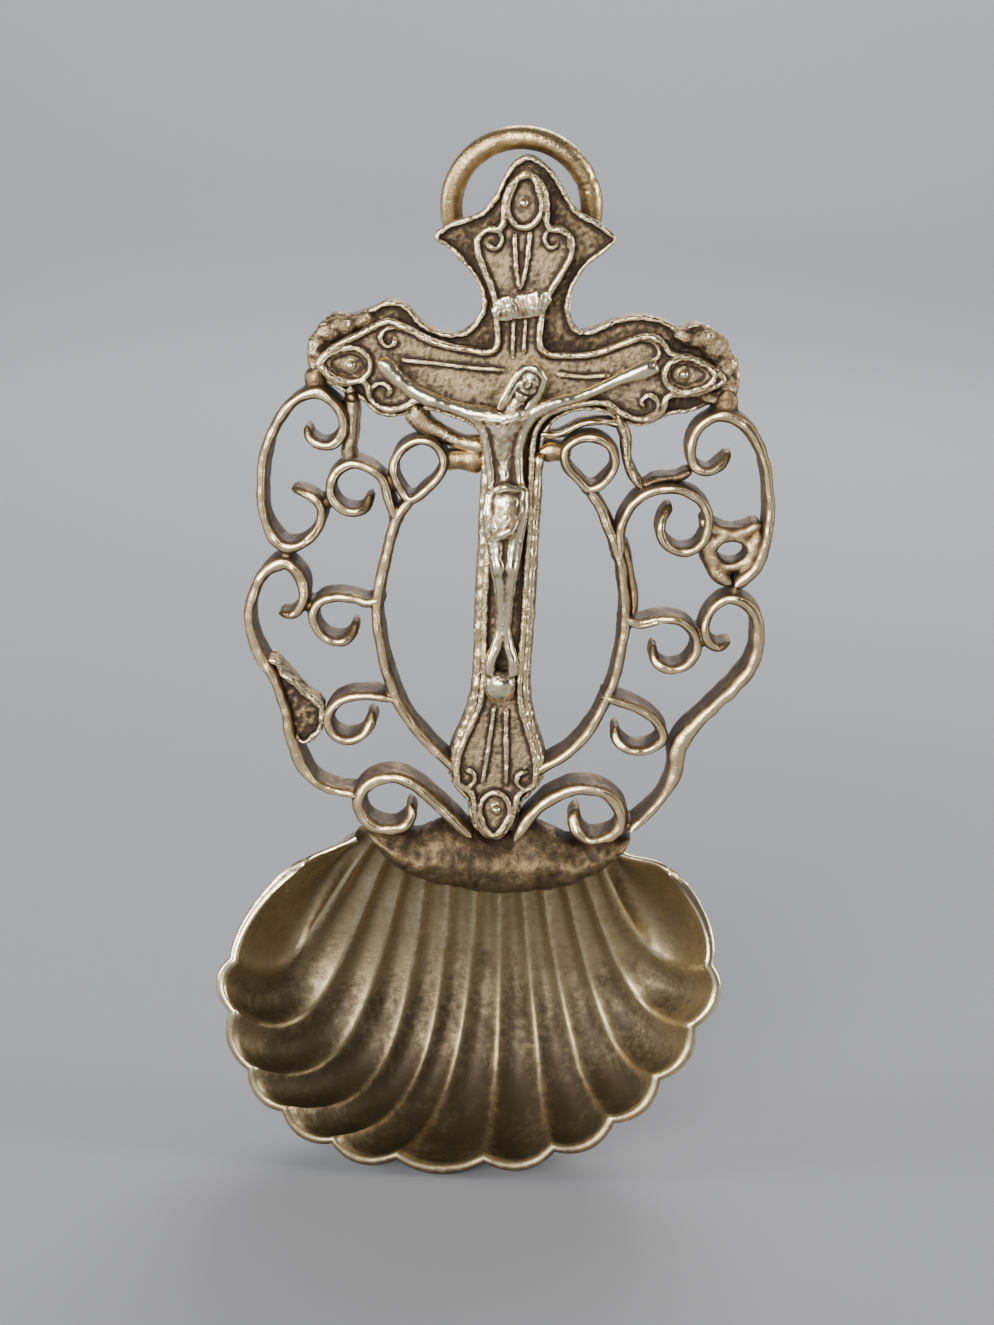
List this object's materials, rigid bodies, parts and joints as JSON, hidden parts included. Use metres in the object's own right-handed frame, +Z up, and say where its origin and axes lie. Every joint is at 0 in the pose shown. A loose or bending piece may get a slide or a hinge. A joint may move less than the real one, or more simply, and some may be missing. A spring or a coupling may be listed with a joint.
{
  "type": "baptismal shell",
  "caption": "Small cast brass baptismal shell: a fluted scallop bowl hanging below an openwork crucifix of scrolls, with a swinging ring behind its top to hang it by.",
  "frame": {"origin": "inside top of the hanging ring, where a hook or chain carries it", "axes": "+Z up along the cross, the back of the cross facing +Y, the hollow of the shell and the figure facing -Y"},
  "size_m": [0.0465, 0.0145, 0.0918],
  "materials": {
    "silvered_brass": "worn silvered brass, bright on the high edges and brown in the hollows",
    "old_brass": "aged yellow brass with a soft shine",
    "dark_brass": "dark brown patina with a grainy cast surface"
  },
  "bodies": {
    "pendant": {"arm_arch_right": "dark_brass", "arm_strut_left": "dark_brass", "arm_strut_right": "dark_brass", "back_plate": "dark_brass", "boss_foot": "silvered_brass", "boss_left": "silvered_brass", "boss_right": "silvered_brass", "boss_top": "silvered_brass", "bottom_volute_left": "silvered_brass", "bottom_volute_right": "silvered_brass", "corpus_figure": "silvered_brass", "front_cross": "silvered_brass", "hoop_left": "silvered_brass", "hoop_right": "silvered_brass", "leaf_web_left": "dark_brass", "lobe_web_right": "dark_brass", "loop_left": "silvered_brass", "loop_right": "silvered_brass", "lower_inner_scroll_left": "silvered_brass", "lower_inner_scroll_right": "silvered_brass", "middle_inner_scroll_left": "silvered_brass", "middle_inner_scroll_right": "silvered_brass", "outer_lower_scroll_left": "silvered_brass", "outer_lower_scroll_right": "silvered_brass", "outer_upper_scroll_left": "silvered_brass", "outer_upper_scroll_right": "silvered_brass", "ring_eyelet": "old_brass", "scroll_post_left": "dark_brass", "shell_bowl": "silvered_brass", "shell_collar": "old_brass", "stem_bridge_left": "old_brass", "stem_bridge_right": "old_brass", "title_ribbon": "silvered_brass", "upper_inner_scroll_left": "silvered_brass", "upper_inner_scroll_right": "silvered_brass"},
    "ring": {"hang_ring": "old_brass"}
  },
  "joints": [
    {"name": "ring_swing", "type": "hinge", "parent": "pendant", "child": "ring", "pos_m": [0, 0.00225, -0.01041], "axis": [-1, 0, 0], "range_deg": [0, 195]}
  ]
}
